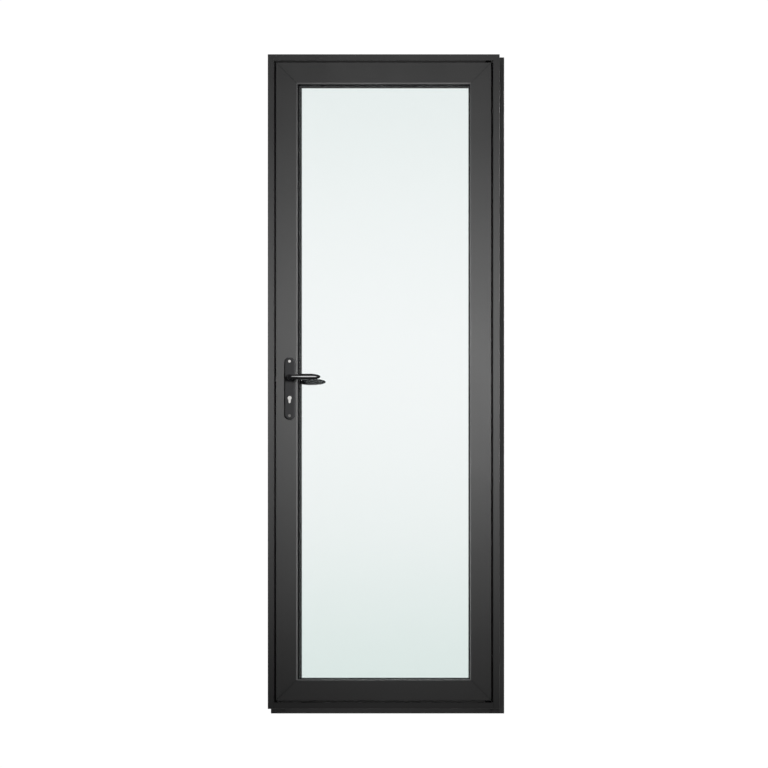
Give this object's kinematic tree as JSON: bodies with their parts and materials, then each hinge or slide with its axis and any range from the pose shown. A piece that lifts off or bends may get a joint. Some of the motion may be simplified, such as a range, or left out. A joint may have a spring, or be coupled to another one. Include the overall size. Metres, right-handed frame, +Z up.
{
  "type": "glass door with frame",
  "caption": "Single glazed door leaf in a slim dark metal frame, turning on hidden pivots, with lever handles on long plates, a latch, a dead bolt and a profile cylinder.",
  "frame": {"origin": "middle of the leaf's thickness and of the width, at the sole of the frame", "axes": "+Z up, +X to the pivot side, +Y from the handle side seen first to the back"},
  "size_m": [0.835, 0.153, 2.35],
  "materials": {
    "frame_coating": "satin powder coat, dark grey",
    "leaf_coating": "satin powder coat, dark grey",
    "seal_rubber": "matt black",
    "block_plastic": "matt",
    "pane_glass": "clear float glass with a faint green edge",
    "spacer_metal": "matt",
    "handle_gloss": "gloss black",
    "plate_satin": "satin black",
    "nickel": "bright nickel",
    "cleat_aluminium": "mill finish",
    "pivot_steel": "blackened",
    "lock_steel": "brushed"
  },
  "bodies": {
    "frame": {"frame_head": "frame_coating", "jamb_left": "frame_coating", "jamb_right": "frame_coating", "frame_sill": "frame_coating", "frame_cleats": "cleat_aluminium", "frame_seal": "seal_rubber", "strike_plate": "lock_steel", "pivot_pin_bottom": "pivot_steel", "pivot_pin_top": "pivot_steel"},
    "leaf": {"stile_lock": "leaf_coating", "stile_pivot": "leaf_coating", "rail_top": "leaf_coating", "rail_bottom": "leaf_coating", "corner_cleats": "cleat_aluminium", "pivot_cleat_bottom": "cleat_aluminium", "pivot_cleat_top": "cleat_aluminium", "pane_front": "pane_glass", "pane_rear": "pane_glass", "spacer_bar": "spacer_metal", "gasket_front": "seal_rubber", "gasket_rear": "seal_rubber", "bead_left": "leaf_coating", "bead_right": "leaf_coating", "bead_top": "leaf_coating", "bead_bottom": "leaf_coating", "setting_blocks": "block_plastic", "lock_case": "lock_steel", "lock_forend": "lock_steel", "cylinder_body": "nickel", "plate_front": "plate_satin", "plate_rear": "plate_satin", "plate_screws": "nickel"},
    "lever": {"lever_front": "handle_gloss", "lever_rear": "handle_gloss", "spindle": "lock_steel", "follower": "lock_steel"},
    "latch": {"latch_bolt": "lock_steel"},
    "bolt": {"dead_bolt": "lock_steel"},
    "key_core": {"key_plug_front": "nickel", "key_plug_rear": "nickel", "cylinder_cam": "lock_steel"}
  },
  "joints": [
    {"name": "leaf_swing", "type": "hinge", "parent": "frame", "child": "leaf", "pos_m": [0.373, -0.019, 0], "axis": [0, 0, 1], "range_deg": [0, 100]},
    {"name": "lever_turn", "type": "hinge", "parent": "leaf", "child": "lever", "pos_m": [-0.336, 0, 1.187], "axis": [0, 1, 0], "range_deg": [0, 40], "stiffness_Nm_per_rad": 2, "springref_deg": -11.46},
    {"name": "latch_draw", "type": "slide", "parent": "leaf", "child": "latch", "axis": [1, 0, 0], "range_m": [0, 0.011]},
    {"name": "key_turn", "type": "hinge", "parent": "leaf", "child": "key_core", "pos_m": [-0.336, 0, 1.115], "axis": [0, 1, 0], "range_deg": [0, 360]},
    {"name": "bolt_throw", "type": "slide", "parent": "leaf", "child": "bolt", "axis": [-1, 0, 0], "range_m": [0, 0.014]}
  ],
  "couplings": [
    {"joint": "latch_draw", "follows": "lever_turn", "m_per_rad": 0.0157},
    {"joint": "key_turn", "follows": "bolt_throw", "rad_per_m": 448}
  ]
}
